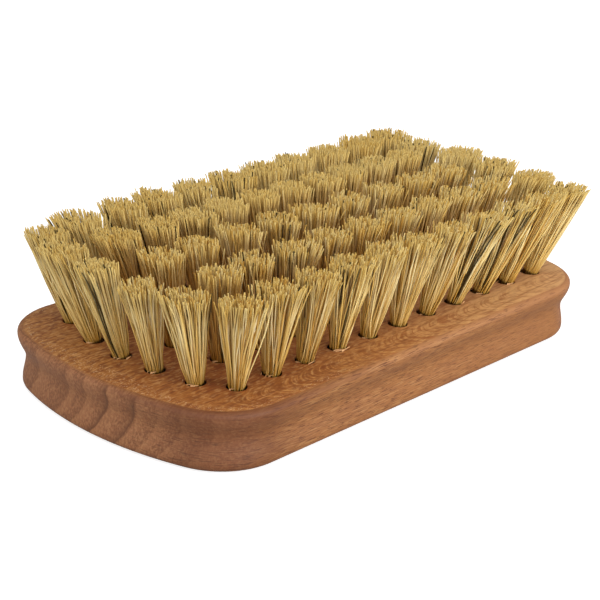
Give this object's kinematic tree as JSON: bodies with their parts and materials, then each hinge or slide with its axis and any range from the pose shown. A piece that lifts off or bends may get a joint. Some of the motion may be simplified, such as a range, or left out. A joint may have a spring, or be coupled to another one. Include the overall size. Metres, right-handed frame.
{
  "type": "sneaker cleaning brush",
  "caption": "Palm-held scrubbing brush for shoes: an oblong wooden block with a finger groove round its edge and fanned tufts of natural bristle.",
  "frame": {"origin": "on the flat back of the block, under the middle of its outline", "axes": "+X along the block's length, +Y across its width, +Z from the flat back up through the bristles"},
  "size_m": [0.12, 0.063, 0.0314],
  "materials": {
    "beech": "oiled, fine-sanded beech",
    "hog_bristle": "unbleached hog bristle, cut level"
  },
  "bodies": {
    "root": {"beech_block": "beech", "tuft_back_01": "hog_bristle", "tuft_back_02": "hog_bristle", "tuft_back_03": "hog_bristle", "tuft_back_04": "hog_bristle", "tuft_back_05": "hog_bristle", "tuft_back_06": "hog_bristle", "tuft_back_07": "hog_bristle", "tuft_back_08": "hog_bristle", "tuft_back_09": "hog_bristle", "tuft_back_10": "hog_bristle", "tuft_back_11": "hog_bristle", "tuft_front_01": "hog_bristle", "tuft_front_02": "hog_bristle", "tuft_front_03": "hog_bristle", "tuft_front_04": "hog_bristle", "tuft_front_05": "hog_bristle", "tuft_front_06": "hog_bristle", "tuft_front_07": "hog_bristle", "tuft_front_08": "hog_bristle", "tuft_front_09": "hog_bristle", "tuft_front_10": "hog_bristle", "tuft_front_11": "hog_bristle", "tuft_inner_back_01": "hog_bristle", "tuft_inner_back_02": "hog_bristle", "tuft_inner_back_03": "hog_bristle", "tuft_inner_back_04": "hog_bristle", "tuft_inner_back_05": "hog_bristle", "tuft_inner_back_06": "hog_bristle", "tuft_inner_back_07": "hog_bristle", "tuft_inner_back_08": "hog_bristle", "tuft_inner_back_09": "hog_bristle", "tuft_inner_back_10": "hog_bristle", "tuft_inner_front_01": "hog_bristle", "tuft_inner_front_02": "hog_bristle", "tuft_inner_front_03": "hog_bristle", "tuft_inner_front_04": "hog_bristle", "tuft_inner_front_05": "hog_bristle", "tuft_inner_front_06": "hog_bristle", "tuft_inner_front_07": "hog_bristle", "tuft_inner_front_08": "hog_bristle", "tuft_inner_front_09": "hog_bristle", "tuft_left_end_01": "hog_bristle", "tuft_left_end_02": "hog_bristle", "tuft_left_end_03": "hog_bristle", "tuft_left_end_04": "hog_bristle", "tuft_middle_01": "hog_bristle", "tuft_middle_02": "hog_bristle", "tuft_middle_03": "hog_bristle", "tuft_middle_04": "hog_bristle", "tuft_middle_05": "hog_bristle", "tuft_middle_06": "hog_bristle", "tuft_middle_07": "hog_bristle", "tuft_middle_08": "hog_bristle", "tuft_middle_09": "hog_bristle", "tuft_right_end_01": "hog_bristle", "tuft_right_end_02": "hog_bristle", "tuft_right_end_03": "hog_bristle", "tuft_right_end_04": "hog_bristle"}
  },
  "joints": []
}
